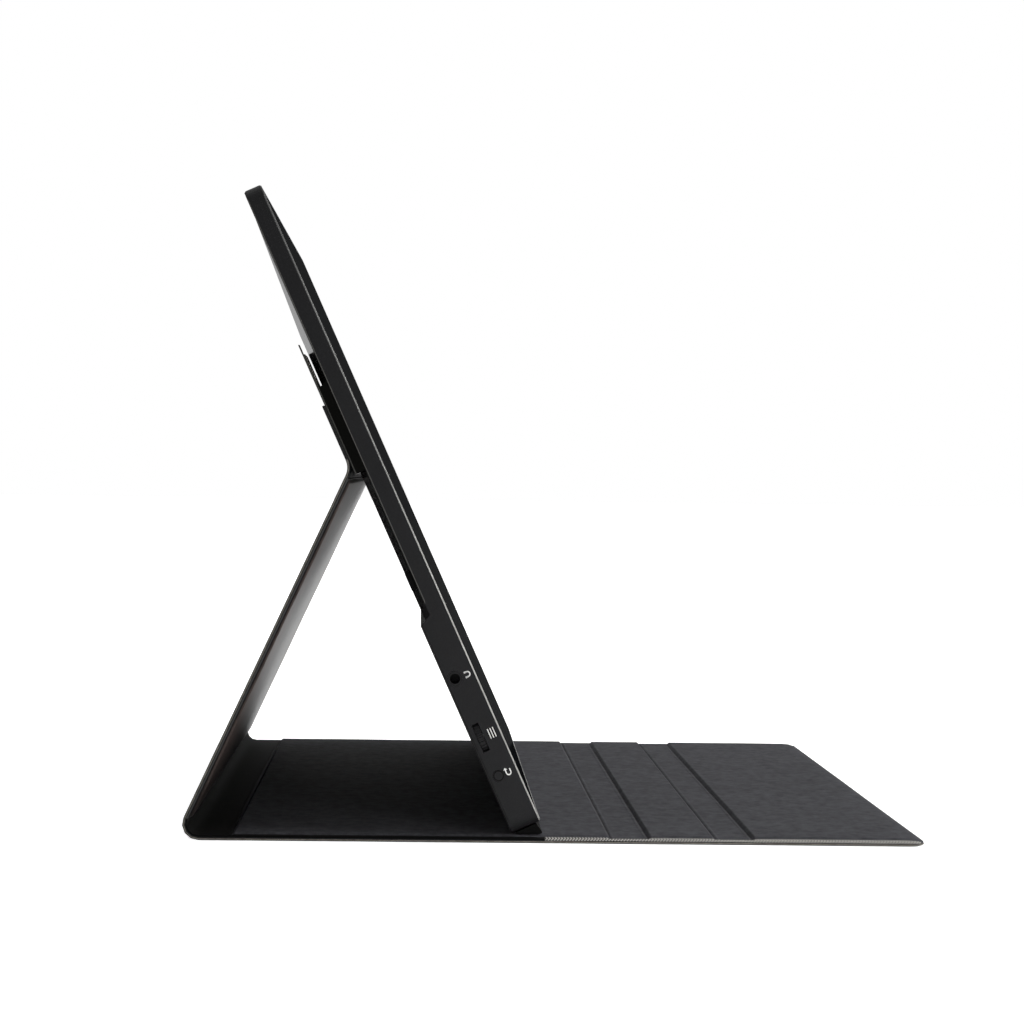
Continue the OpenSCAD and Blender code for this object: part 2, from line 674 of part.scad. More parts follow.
// Soft bands between the panels
module band(s, len) {
    color("#38383b") on_base(s) translate([-cover_w / 2, 0, 0]) cube([cover_w, len - seam, band_t]);
}
module fold_1_band() { band(base_len, band_1_len); }
module fold_2_band() { band(s_2 + panel_2_len, band_2_len); }
module spine_band() {
    n = 12;
    c = [y_at(-strip_len), bend_r];
    inner_r = bend_r - band_t;
    end = 90 - leg_angle - seam / inner_r * 180 / PI;
    color("#38383b") along_x(cover_w)
        polygon(concat([[y_at(0), 0]], arc(c, bend_r, -90, end, n), arc(c, inner_r, end, -90, n),
                       [[y_at(0), band_t]]));
}

rear_cover();
chassis_frame();
front_glass();
lcd_cell();
diffuser_sheets();
light_guide();
reflector_sheet();
led_strip();
backlight_tray();
tcon_board();
main_board();
board_chips();
display_cable();
keypad_board();
keypad_cable();
headphone_jack();
usb_socket_upper();
usb_socket_lower();
hdmi_socket();
wheel_switch();
back_switch();
rear_screws();
board_screws();
bracket_screws();
bezel_magnets();
rear_pads();
foot_strip();
cover_bracket();
flap_skin();
back_button();
wheel_carrier();
wheel_axle();
menu_wheel();
leg_outer_skin();
leg_board();
leg_lining();
crease_band();
spine_band();
base_outer_skin();
base_board();
base_lining();
fold_1_band();
panel_2_outer_skin();
panel_2_board();
panel_2_lining();
fold_2_band();
panel_3_outer_skin();
panel_3_board();
panel_3_lining();
panel_3_magnets();
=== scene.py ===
import math

import bpy
import numpy as np
from mathutils import Matrix


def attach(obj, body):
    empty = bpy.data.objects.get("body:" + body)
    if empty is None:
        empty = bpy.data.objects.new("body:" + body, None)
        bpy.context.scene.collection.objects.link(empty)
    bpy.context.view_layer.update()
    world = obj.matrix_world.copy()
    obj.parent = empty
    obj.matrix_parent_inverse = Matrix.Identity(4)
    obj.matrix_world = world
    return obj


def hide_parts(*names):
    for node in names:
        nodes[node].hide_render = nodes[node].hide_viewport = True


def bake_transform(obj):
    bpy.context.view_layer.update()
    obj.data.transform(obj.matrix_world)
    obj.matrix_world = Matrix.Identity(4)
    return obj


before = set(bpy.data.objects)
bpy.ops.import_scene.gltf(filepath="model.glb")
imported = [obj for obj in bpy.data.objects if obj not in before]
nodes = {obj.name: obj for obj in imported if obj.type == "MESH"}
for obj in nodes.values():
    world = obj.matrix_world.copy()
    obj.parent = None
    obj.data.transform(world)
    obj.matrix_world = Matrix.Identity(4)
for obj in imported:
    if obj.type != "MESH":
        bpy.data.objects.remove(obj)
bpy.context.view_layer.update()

# Lengths here are in millimetres and become metres where a mesh is made.
# s runs forward from the rear edge of the base panel, so y = originS - s.
stand = {
    "lean": 24.45,          # the monitor leans back, degrees
    "monitorY": 4.98623,    # lower front corner of the monitor
    "monitorZ": 7.18038,
    "originS": 112.0,
}
monitor = {
    "width": 374.0,
    "thin": 6.4, "thick": 10.9,                         # depth of the back edge above and below the step
    "step": 78.8,
}
cover = {
    "width": 376.0,
    "skin": 0.95,           # outer skin
    "bandLevel": 1.6,       # inner face of the bands above the outer face
    "boardLevel": 2.6,      # inner face over the boards
    "sideMargin": 4.0, "foldMargin": 1.5,               # soft shoulders of the boards
    "cutRound": 0.14, "cutShare": 0.42,                 # shoulder of a cut edge, and what it leaves
    "bendRadius": 5.5, "stripLength": 11.4,
    "legAngle": 65.377, "legLength": 133.206, "creaseLap": 3.0, "legLiningEnd": 129.706,
    "floor": (0.0, 131.2, 144.2, 167.7, 180.5, 240.9),   # base, fold, panel, fold, tip panel
    "tipMargin": 4.6, "tipRadius": 5.0,
    "creaseHeight": 138.9, "creaseDepth": 11.45, "flapHigh": 162.1,
}
lean = math.radians(stand["lean"])
legAngle = math.radians(cover["legAngle"])


def smoothStep(t):
    # three t squared minus two t cubed, t held between 0 and 1
    t = np.clip(t, 0, 1)
    return t * t * (3 - 2 * t)


def newMesh(name, points, faces, sharpAngle=35):
    mesh = bpy.data.meshes.new(name)
    mesh.from_pydata(np.asarray(points, float).reshape(-1, 3) / 1000, [], np.asarray(faces).tolist())
    mesh.polygons.foreach_set("use_smooth", np.ones(len(mesh.polygons), bool))
    mesh.update()
    mesh.set_sharp_from_angle(angle=math.radians(sharpAngle))
    piece = bpy.data.objects.new(name, mesh)
    bpy.context.scene.collection.objects.link(piece)
    return piece


def gridFaces(start, rows, columns, flip=False):
    # quads between neighbours of a rows by columns grid of points
    index = start + np.arange(rows * columns).reshape(rows, columns)
    quads = np.stack([index[:-1, :-1], index[1:, :-1], index[1:, 1:], index[:-1, 1:]], -1).reshape(-1, 4)
    return quads[:, ::-1] if flip else quads


def closedSheet(name, top, bottom, finish, edgeFinish=None):
    # the space between two grids of points: both faces, and a wall along the four edges
    rows, columns = top.shape[:2]
    count = rows * columns
    index = np.arange(count).reshape(rows, columns)
    edge = np.concatenate([index[0, :-1], index[:-1, -1], index[-1, :0:-1], index[:0:-1, 0]])
    after = np.roll(edge, -1)
    walls = np.stack([edge, after, after + count, edge + count], -1)
    faces = np.concatenate([gridFaces(0, rows, columns), gridFaces(count, rows, columns, True), walls])
    points = np.concatenate([top.reshape(-1, 3), bottom.reshape(-1, 3)])
    # the signed volume tells which way the faces point
    a, b, c = (points[faces[:, k]] for k in range(3))
    d = points[faces[:, 3]]
    volume = (np.einsum("ij,ij->i", a, np.cross(b, c)) + np.einsum("ij,ij->i", a, np.cross(c, d))).sum()
    if volume < 0:
        faces = faces[:, ::-1]
    piece = newMesh(name, points, faces)
    piece.data.materials.append(finish)
    if edgeFinish is not None:
        piece.data.materials.append(edgeFinish)
        piece.data.polygons.foreach_set("material_index", np.arange(len(faces)) >= len(faces) - len(walls))
    return piece


def onMonitor(x, depth, height):
    # a point of the leaning monitor: x, depth behind the front, height along the front
    y = stand["monitorY"] + depth * math.cos(lean) + height * math.sin(lean)
    z = stand["monitorZ"] + height * math.cos(lean) - depth * math.sin(lean)
    x, y, z = np.broadcast_arrays(x, y, z)
    return np.stack([x, y, z], -1)


arcSpan = math.pi - legAngle                        # turn of the spine's bend
arcLength = cover["bendRadius"] * arcSpan
legStart = -cover["stripLength"] - arcLength        # where the leg begins, along the skin
boardSpans = [(legStart - cover["legLiningEnd"], legStart),
              (cover["floor"][0], cover["floor"][1]),
              (cover["floor"][2], cover["floor"][3]),
              (cover["floor"][4], cover["floor"][5])]
panelEdge = {"groove": 0.26, "grooveWidth": 0.3, "ridge": 0.12, "ridgeWidth": 0.4, "ridgeAway": 0.95}


def coverPoint(x, along, rise):
    # the skin's path: flat on the floor, then round the bend, then straight up the leg;
    # rise is measured from the outer face towards the inner side
    turn = np.clip((-cover["stripLength"] - along) / cover["bendRadius"], 0, arcSpan)
    up = np.maximum(legStart - along, 0)
    flat = np.maximum(along, -cover["stripLength"])
    s = flat - cover["bendRadius"] * np.sin(turn) + up * math.cos(legAngle) + rise * np.sin(turn)
    z = cover["bendRadius"] * (1 - np.cos(turn)) + up * math.sin(legAngle) + rise * np.cos(turn)
    x, s, z = np.broadcast_arrays(x, s, z)
    return np.stack([x, stand["originS"] - s, z], -1)


class Surface:
    # a material's nodes, added one after another; every pattern reads Object coordinates

    def __init__(self, name, gloss=0.15, **settings):
        self.material = bpy.data.materials.new(name)
        self.material.use_nodes = True
        self.tree = self.material.node_tree
        self.shader = self.tree.nodes["Principled BSDF"]
        self.place = self.add("ShaderNodeTexCoord").outputs["Object"]
        self.shader.inputs["Specular IOR Level"].default_value = gloss
        for key, value in settings.items():
            self.shader.inputs[key.replace("_", " ")].default_value = value

    def add(self, kind, **settings):
        node = self.tree.nodes.new(kind)
        for key, value in settings.items():
            setattr(node, key, value)
        return node

    def link(self, source, target):
        self.tree.links.new(source, target)

    def feed(self, socket, value):
        # a number or colour is set on the socket, anything else is linked to it
        if isinstance(value, (int, float)):
            socket.default_value = value
        elif isinstance(value, tuple):
            socket.default_value = (*value, 1)
        else:
            self.link(value, socket)

    def mapped(self, scale):
        node = self.add("ShaderNodeMapping")
        node.inputs["Scale"].default_value = scale
        self.link(self.place, node.inputs["Vector"])
        return node.outputs["Vector"]

    def noise(self, scale, detail=3.0, roughness=0.55, stretch=(1, 1, 1)):
        node = self.add("ShaderNodeTexNoise")
        for key, value in (("Scale", scale), ("Detail", detail), ("Roughness", roughness)):
            node.inputs[key].default_value = value
        self.link(self.mapped(stretch), node.inputs["Vector"])
        return node.outputs["Fac"]

    def cells(self, scale):
        node = self.add("ShaderNodeTexVoronoi")
        node.inputs["Scale"].default_value = scale
        self.link(self.place, node.inputs["Vector"])
        return node.outputs["Distance"]

    def along(self, direction, start=0.0):
        # millimetres along a direction: the dot product with the place, less the start
        node = self.add("ShaderNodeVectorMath", operation="DOT_PRODUCT")
        node.inputs[1].default_value = [1000 * part for part in direction]
        self.link(self.place, node.inputs[0])
        return self.maths("SUBTRACT", node.outputs["Value"], start)

    def depth(self):
        # depth behind the leaning monitor's front
        y, z = stand["monitorY"], stand["monitorZ"]
        return self.along((0, math.cos(lean), -math.sin(lean)), y * math.cos(lean) - z * math.sin(lean))

    def height(self):
        # height along the leaning monitor's front
        y, z = stand["monitorY"], stand["monitorZ"]
        return self.along((0, math.sin(lean), math.cos(lean)), y * math.sin(lean) + z * math.cos(lean))

    def aside(self):
        # distance from the middle, to the left or the right
        return self.maths("ABSOLUTE", self.along((1, 0, 0)))

    def span(self, value, low, high, start=0.0, end=1.0, kind="LINEAR"):
        node = self.add("ShaderNodeMapRange", interpolation_type=kind)
        for key, number in (("From Min", start), ("From Max", end), ("To Min", low), ("To Max", high)):
            self.feed(node.inputs[key], number)
        self.link(value, node.inputs["Value"])
        return node.outputs["Result"]

    def rise(self, value, start, end):
        # 0 before start, 1 after end, smooth between
        return self.span(value, 0.0, 1.0, start, end, "SMOOTHSTEP")

    def band(self, value, centre, width):
        # 1 at the centre, falling smoothly to 0 half the width away
        return self.span(self.maths("ABSOLUTE", self.maths("SUBTRACT", value, centre)),
                         1.0, 0.0, 0.0, width / 2, "SMOOTHSTEP")

    def ramp(self, value, stops):
        node = self.add("ShaderNodeValToRGB")
        while len(node.color_ramp.elements) < len(stops):
            node.color_ramp.elements.new(0.5)
        for element, (position, shade) in zip(node.color_ramp.elements, stops):
            element.position = position
            element.color = (*shade, 1)
        self.link(value, node.inputs["Fac"])
        return node.outputs["Color"]

    def shades(self, value, colour, low, high, start=0.3, end=0.7):
        # the colour times low where the value is at start, times high where it is at end
        return self.ramp(value, [(start, shade(colour, low)), (end, shade(colour, high))])

    def blend(self, share, first, second):
        node = self.add("ShaderNodeMix", data_type="RGBA")
        self.feed(node.inputs[0], share)
        self.feed(node.inputs[6], first)
        self.feed(node.inputs[7], second)
        return node.outputs[2]

    def maths(self, operation, first, second=0.0):
        node = self.add("ShaderNodeMath", operation=operation)
        self.feed(node.inputs[0], first)
        self.feed(node.inputs[1], second)
        return node.outputs[0]

    def distance(self, first, second):
        # the square root of the sum of both squares
        squares = [self.maths("MULTIPLY", value, value) for value in (first, second)]
        return self.maths("SQRT", self.maths("ADD", *squares))

    def total(self, *parts):
        # the sum of values, each times its weight
        result = None
        for value, weight in parts:
            part = self.maths("MULTIPLY", value, weight)
            result = part if result is None else self.maths("ADD", result, part)
        return result

    def bump(self, height, depth, strength=1.0):
        node = self.add("ShaderNodeBump")
        node.inputs["Strength"].default_value = strength
        node.inputs["Distance"].default_value = depth / 1000
        self.link(height, node.inputs["Height"])
        return node.outputs["Normal"]

    def finish(self, colour=None, roughness=None, normal=None):
        for source, key in ((colour, "Base Color"), (roughness, "Roughness"), (normal, "Normal")):
            if source is not None:
                self.link(source, self.shader.inputs[key])
        return self.material


def linear(hexCode):
    # a screen colour turned into linear light, one channel at a time
    parts = [int(hexCode[i:i + 2], 16) / 255 for i in (1, 3, 5)]
    return tuple(p / 12.92 if p <= 0.04045 else ((p + 0.055) / 1.055) ** 2.4 for p in parts)


def shade(colour, factor):
    # the colour times a factor
    return tuple(c * factor for c in colour)


def mouldedPlastic(name, colour, roughness=0.5, grain=0.012, grainScale=2600.0, gloss=0.15):
    # fine spark-eroded grain: noise in the bump, and a little of it in colour and gloss
    s = Surface(name, gloss)
    fine = s.noise(grainScale, 2)
    tone = s.shades(s.total((fine, 0.6), (s.noise(60, 3), 0.4)), colour, 0.82, 1.18)
    return s.finish(tone, s.span(fine, roughness - 0.07, roughness + 0.08), s.bump(fine, grain))


def metalSurface(name, colour, roughness=0.3, stretch=(1, 12, 12)):
    # metal brushed along X: stretched noise in gloss and bump
    s = Surface(name, 0.5, Metallic=1.0)
    lines = s.noise(900, 3, stretch=stretch)
    tone = s.shades(lines, colour, 0.85, 1.1)
    return s.finish(tone, s.span(lines, roughness - 0.08, roughness + 0.1), s.bump(lines, 0.004))


shell = {
    "colour": linear("#1f1f20"), "roughness": 0.5, "grain": 2400.0, "patches": 45.0,
    "rimColour": linear("#a8a8a5"), "rimDepth": 0.5,     # painted highlight on the chamfer round the glass
    "edgeColour": linear("#5c5b58"), "edgeWidth": 0.5,    # painted glint on the edge where the sides meet the back
    "seamColour": linear("#060606"), "seamWidth": 0.5, "seamShare": 0.85,
    "slopeReflectionColour": linear("#6a5a56"),                     # painted reflection on the slope of the step, seen in the side face
    "stepRun": 8.0,                                       # height over which the step changes the depth
    "glintFadeFrom": 90.0, "glintFadeTo": 235.0, "glintFadeLeft": 0.15,  # the chamfer's painted highlight fades with the height
}


def shellPlastic():
    # grained plastic; the chamfer, with a painted highlight, is told by its depth behind the front, and the
    # painted edge glint and the dark seam by how far the depth is from the back edge, which lies deeper below
    # the step; a painted reflection lies behind the back edge on the sides
    s = Surface("shellPlastic", 0.07)
    fine = s.noise(shell["grain"], 2)
    wide = s.noise(shell["patches"], 3)
    tone = s.shades(s.total((fine, 0.6), (wide, 0.4)), shell["colour"], 0.78, 1.22)
    depth = s.depth()
    height = s.height()
    lower = s.rise(height, monitor["step"] + shell["stepRun"], monitor["step"])
    back = s.span(lower, monitor["thin"], monitor["thick"])
    past = s.maths("SUBTRACT", depth, back)
    side = monitor["width"] / 2
    onSide = s.rise(s.aside(), side - 0.6, side - 0.3)
    # painted glint: a pale band just before the back edge on the sides
    edge = s.maths("MULTIPLY", s.band(past, -0.25, shell["edgeWidth"]), onSide)
    seam = s.band(past, 0.2, shell["seamWidth"])
    # painted reflection: brownish pale behind the back edge on the sides, above the step
    slopeReflection = s.maths("MULTIPLY", s.maths("MULTIPLY", s.rise(past, 0.3, 0.5), onSide),
                    s.rise(height, monitor["step"] - 1.5, monitor["step"]))
    tone = s.blend(slopeReflection, tone, shell["slopeReflectionColour"])
    tone = s.blend(s.maths("MULTIPLY", seam, shell["seamShare"]), tone, shell["seamColour"])
    tone = s.blend(edge, tone, shell["edgeColour"])
    # painted highlight: the chamfer is pale, and the pale fades with the height
    rim = s.maths("SUBTRACT", 1.0, s.rise(depth, shell["rimDepth"] - 0.08, shell["rimDepth"]))
    glintFade = s.span(height, 1.0, shell["glintFadeLeft"], shell["glintFadeFrom"], shell["glintFadeTo"])
    chamferGlint = s.shades(s.noise(35, 3), shell["rimColour"], 0.7, 1.15)
    tone = s.blend(s.maths("MULTIPLY", rim, glintFade), tone, chamferGlint)
    behind = s.rise(past, 0.0, 0.4)
    rough = s.span(fine, shell["roughness"] - 0.06, shell["roughness"] + 0.08)
    rough = s.maths("SUBTRACT", rough, s.total((rim, 0.25), (behind, 0.32)))
    return s.finish(tone, rough, s.bump(fine, 0.01))


bracket = {
    "colour": linear("#080807"), "edgeColour": linear("#4a4a47"),
    "edgeDepth": 10.08, "edgeWidth": 0.8,                 # paler cut edge of the plate, at its two ends
    "earColour": linear("#8f8a86"),                       # bare inner face of the ears:
    "earStart": 170.2, "earDepth": 9.62,                  # above this height, before this depth
}


def bracketPlastic():
    # near-black plate; its end faces carry a pale line where the depth is near edgeDepth, and the
    # inner face of the ears is bare
    s = Surface("bracketPlastic", 0.02)
    fine = s.noise(2200, 2)
    tone = s.shades(fine, bracket["colour"], 0.8, 1.2)
    side = monitor["width"] / 2
    atEnd = s.rise(s.aside(), side - 0.62, side - 0.52)
    line = s.maths("MULTIPLY", atEnd, s.band(s.depth(), bracket["edgeDepth"], bracket["edgeWidth"]))
    tone = s.blend(line, tone, bracket["edgeColour"])
    onEar = s.rise(s.height(), bracket["earStart"], bracket["earStart"] + 0.3)
    behind = s.rise(s.depth(), bracket["earDepth"], bracket["earDepth"] + 0.04)
    inner = s.maths("MULTIPLY", onEar, s.maths("SUBTRACT", 1.0, behind))
    tone = s.blend(inner, tone, bracket["earColour"])
    return s.finish(tone, s.span(fine, 0.38, 0.55), s.bump(fine, 0.008))


def glassFront():
    # black printed glass: a dark body under a thin clear coat, with faint dust in colour and gloss
    s = Surface("glassFront", 0.0, Coat_Weight=0.012, Coat_IOR=2.4, Coat_Roughness=0.04)
    dust = s.noise(420, 4, 0.7)
    tone = s.ramp(dust, [(0.35, linear("#08090a")), (0.75, linear("#0d0e10"))])
    return s.finish(tone, s.span(s.noise(30, 3), 0.3, 0.4))


lining = {
    # the spine's colour is the lining made near-black: painted shade, where the spine lies in shadow
    "colour": linear("#39393c"), "legColour": linear("#4d4340"), "spineShadeColour": linear("#191918"),
    "edgeColour": linear("#a3a19c"), "blackEdgeAndShade": linear("#070707"),
    "twillPitch": 1.05, "twillRow": 0.55, "edgeStart": 186.0,
    "edgeShadowFrom": 3.0,                                      # painted shadow: behind this the edge strip is black; the twill shows only in front of the foot
    "twillSlant": 1.3,
    "streaks": 700.0, "mottle": 260.0, "pile": 3200.0, "patches": 14.0,
    # painted shade in the grooves beside the panels: their width, share and darkness
    "grooveWidth": 0.6, "grooveShade": 0.6, "grooveShadeFactor": 0.25,
    "paintedShadeFrom": 12.0, "paintedShadeTo": 30.0,                     # painted shade: the leg's lining is darker below this height
    "bendColour": linear("#3d3c39"), "bendWidth": 5.0,    # paler line where the leg's lining bends
}


def brushedLining(name, colour, twillEdge, gloss, rough, stretch=(1.6, 0.16, 1.6)):
    # short pile brushed along Y: noise drawn out along Y over soft wide patches, with painted shade in the
    # grooves beside the panels; the edge strip is a zigzag twill, fract((y + slant pingpong(z)) / pitch),
    # painted black as shadow behind the foot, or black
    s = Surface(name, gloss)
    streaks = s.noise(lining["streaks"], 4, 0.65, stretch=stretch)
    pile = s.noise(lining["pile"], 2)
    mottle = s.noise(lining["mottle"], 4, 0.7, (0.7, 1, 1))
    patches = s.noise(lining["patches"], 3)
    mixed = s.total((streaks, 0.2), (pile, 0.15), (patches, 0.1), (mottle, 0.55))
    tone = s.shades(mixed, colour, 0.55, 1.45, 0.36, 0.64)
    y = s.along((0, 1, 0))
    # painted shade: darker in the grooves at the panel edges
    for place in cover["floor"][1:5]:
        groove = s.band(y, stand["originS"] - place, lining["grooveWidth"])
        tone = s.blend(s.maths("MULTIPLY", groove, 1 - lining["grooveShade"]), tone,
                       shade(colour, lining["grooveShadeFactor"]))
    if not twillEdge:
        # painted shade: darker near the spine, with the paler line by the distance from where the bend starts
        up = s.along((0, 0, 1))
        tone = s.blend(s.rise(up, lining["paintedShadeFrom"], lining["paintedShadeTo"]), shade(colour, 0.35), tone)
        bend = coverPoint(0, legStart, cover["bandLevel"])
        fromBend = s.distance(s.maths("SUBTRACT", y, float(bend[1])), s.maths("SUBTRACT", up, float(bend[2])))
        tone = s.blend(s.band(fromBend, 0.0, lining["bendWidth"]), tone, lining["bendColour"])
    edge = s.rise(s.aside(), lining["edgeStart"], lining["edgeStart"] + 0.3)
    if twillEdge:
        zigzag = s.maths("PINGPONG", s.along((0, 0, 1)), lining["twillRow"])
        phase = s.maths("ADD", y, s.maths("MULTIPLY", zigzag, lining["twillSlant"]))
        phase = s.maths("FRACT", s.maths("DIVIDE", phase, lining["twillPitch"]))
        pale, gap = lining["edgeColour"], shade(lining["edgeColour"], 0.12)
        thread = s.ramp(phase, [(0.0, gap), (0.25, pale), (0.55, pale), (0.8, gap)])
        # painted shadow: the edge strip is black behind the foot, in the monitor's shade
        thread = s.blend(s.rise(y, lining["edgeShadowFrom"], lining["edgeShadowFrom"] + 1), thread, lining["blackEdgeAndShade"])
        tone = s.blend(edge, tone, thread)
    else:
        tone = s.blend(edge, tone, lining["blackEdgeAndShade"])
    return s.finish(tone, s.span(streaks, rough - 0.08, rough + 0.08), s.bump(mixed, 0.04, 0.8))


leather = {
    "colour": linear("#28282a"), "roughness": 0.5, "pebbles": 620.0, "pores": 1900.0,
    "shoulderShadeColour": linear("#0c0c0c"),                  # painted shade: black on the rounded shoulder beside the cut edges
    "cutColour": linear("#6a6761"), "cutFibres": 1500.0,
}


def grainedLeather():
    # pebbled grain: cell distance for the pebbles, noise for the pores and slow colour changes;
    # painted shade: black where the distance from the middle nears half the cover's width
    s = Surface("outerLeather", 0.12)
    pores = s.noise(leather["pores"], 3)
    pebbles = s.cells(leather["pebbles"])
    height = s.total((pebbles, -0.8), (pores, 0.3))
    mixed = s.total((s.noise(9, 3), 0.45), (pores, 0.3), (pebbles, -0.5))
    tone = s.shades(mixed, leather["colour"], 0.7, 1.3, 0.05, 0.4)
    half = cover["width"] / 2
    # painted shade on the rounded shoulders at the cut edges
    tone = s.blend(s.rise(s.aside(), half - 0.35, half - 0.15), tone, leather["shoulderShadeColour"])
    rough = leather["roughness"]
    return s.finish(tone, s.span(pores, rough - 0.08, rough + 0.12), s.bump(height, 0.22))


def cutLeather():
    # the pale fibres of a cut edge: noise drawn out along the edge
    s = Surface("cutLeather", 0.1)
    fibres = s.noise(leather["cutFibres"], 3, stretch=(1, 0.3, 0.3))
    tone = s.shades(fibres, leather["cutColour"], 0.65, 1.25)
    return s.finish(tone, s.span(fibres, 0.6, 0.8), s.bump(fibres, 0.03))


button = {
    "depth": 7.0, "height": 20.7, "radius": 1.85,
    "colour": linear("#1f1f20"), "rimColour": linear("#040404"), "rimWidth": 0.5,
}


def buttonPlastic():
    # the cap of the back button: its rim is painted dark, as the shade of the gap round it, where the
    # distance from the middle nears the radius
    s = Surface("buttonPlastic", 0.07)
    fine = s.noise(2600, 2)
    tone = s.shades(fine, button["colour"], 0.8, 1.2)
    away = s.distance(s.maths("SUBTRACT", s.depth(), button["depth"]),
                      s.maths("SUBTRACT", s.height(), button["height"]))
    rimStart = button["radius"] - button["rimWidth"]
    # painted shade: the dark rim stands for the shadow in the gap round the button
    tone = s.blend(s.rise(away, rimStart, rimStart + button["rimWidth"] / 2), tone, button["rimColour"])
    return s.finish(tone, s.span(fine, 0.35, 0.5), s.bump(fine, 0.006))


finishes = {
    "shell": shellPlastic(),
    "frame": mouldedPlastic("framePlastic", linear("#1a1a1b"), 0.55),
    "bracket": bracketPlastic(),
    "button": buttonPlastic(),
    "wheel": mouldedPlastic("wheelPlastic", linear("#0e0e0f"), 0.42, 0.006),
    "socketBody": mouldedPlastic("socketPlastic", linear("#0b0b0c"), 0.35, 0.004),
    "switches": mouldedPlastic("switchPlastic", linear("#36373a"), 0.5),
    "rubber": mouldedPlastic("softRubber", linear("#090909"), 0.75, 0.02, 1800.0, 0.03),
    "circuit": mouldedPlastic("circuitBoard", linear("#1f5a37"), 0.35, 0.004),
    "chips": mouldedPlastic("chipBodies", linear("#202124"), 0.6),
    "film": mouldedPlastic("amberFilm", linear("#c9a24a"), 0.3, 0.003),
    "whiteFilm": mouldedPlastic("whiteFilm", linear("#d9d9d6"), 0.35, 0.003),
    "diffuser": mouldedPlastic("milkySheet", linear("#e6e6e4"), 0.4, 0.003),
    "guide": mouldedPlastic("clearGuide", linear("#d4dfe4"), 0.1, 0.002, gloss=0.5),
    "leds": mouldedPlastic("ledStrip", linear("#e4dca6"), 0.4, 0.004),
    "boards": mouldedPlastic("greyBoard", linear("#6d6358"), 0.85, 0.03, 900.0),
    "tray": metalSurface("satinTray", linear("#9a9da0"), 0.35),
    "steel": metalSurface("nickelSteel", linear("#b3b5b7"), 0.28),
    "screws": metalSurface("blackScrews", linear("#3a3b3d"), 0.4),
    "magnets": metalSurface("nickelMagnets", linear("#a4a6a8"), 0.2),
    "lining": brushedLining("brushedLining", lining["colour"], True, 0.04, 0.8),
    "legLining": brushedLining("legLining", lining["legColour"], False, 0.35, 0.42, (1.2, 0.5, 0.5)),
    # painted shade: a near-black copy of the lining for the spine in shadow
    "spineLining": brushedLining("spineLining", lining["spineShadeColour"], False, 0.04, 0.8),
    "leather": grainedLeather(),
    "cut": cutLeather(),
    "mark": mouldedPlastic("whitePrint", linear("#dededc"), 0.5, 0.002),
    "glass": glassFront(),
}
nodeFinish = {
    "shell": ["rear_cover"], "frame": ["chassis_frame"], "glass": ["front_glass", "lcd_cell"],
    "bracket": ["cover_bracket"], "button": ["back_button"], "wheel": ["menu_wheel"],
    "socketBody": ["headphone_jack"], "switches": ["wheel_switch", "back_switch", "wheel_carrier"],
    "rubber": ["rear_pads", "foot_strip"], "circuit": ["tcon_board", "main_board", "keypad_board"],
    "chips": ["board_chips"], "film": ["display_cable"], "whiteFilm": ["keypad_cable"],
    "diffuser": ["diffuser_sheets", "reflector_sheet"], "guide": ["light_guide"], "leds": ["led_strip"],
    "boards": ["leg_board", "base_board", "panel_2_board", "panel_3_board"],
    "tray": ["backlight_tray"],
    "steel": ["usb_socket_upper", "usb_socket_lower", "hdmi_socket", "wheel_axle"],
    "screws": ["rear_screws", "board_screws", "bracket_screws"],
    "magnets": ["bezel_magnets", "panel_3_magnets"],
}
for finish, names in nodeFinish.items():
    for name in names:
        nodes[name].data.materials.clear()
        nodes[name].data.materials.append(finishes[finish])
print("materials on the CAD nodes")


def edgeRound(distance, radius, least=0.3):
    # 1 inside, falling on a quarter circle to least at the edge
    t = np.clip(distance / radius, 0, 1)
    return least + (1 - least) * np.sqrt(np.clip(1 - (1 - t) ** 2, 0, 1))


def acrossPoints(inset=0.0):
    # x across the cover as a share of the half width: dense in the margins, even between
    half = cover["width"] / 2 - inset
    margin = np.concatenate([np.array([0, 0.04, 0.09, 0.16, 0.28, 0.45, 0.7]), np.linspace(1, 5, 13)])
    middle = np.linspace(half - 6, -(half - 6), 40)
    x = np.concatenate([half - margin, middle, -(half - margin)[::-1]])
    return x / half


def halfWidthAt(along, inset=0.0):
    # half the width; it draws in on a quarter circle at the two tip corners
    radius = cover["tipRadius"]
    past = np.clip(along - (cover["floor"][5] - inset - radius), 0, radius)
    return cover["width"] / 2 - inset - (radius - np.sqrt(np.maximum(radius ** 2 - past ** 2, 0)))


def alongPoints(start, end, edges=()):
    # even steps, finer beside the panel edges
    points = [np.linspace(start, end, max(int(abs(end - start) / 3), 8) + 1)]
    for edge in edges:
        near = edge + np.linspace(-2.2, 2.2, 37)
        points.append(near[(near > start) & (near < end)])
    return np.unique(np.round(np.concatenate(points), 4))


# soft waves of the lining: their height, their lengths along and across, and the room left for them
waviness = {"height": 0.05, "along": 7.3, "across": 37.0, "drift": 61.0, "room": 0.06}


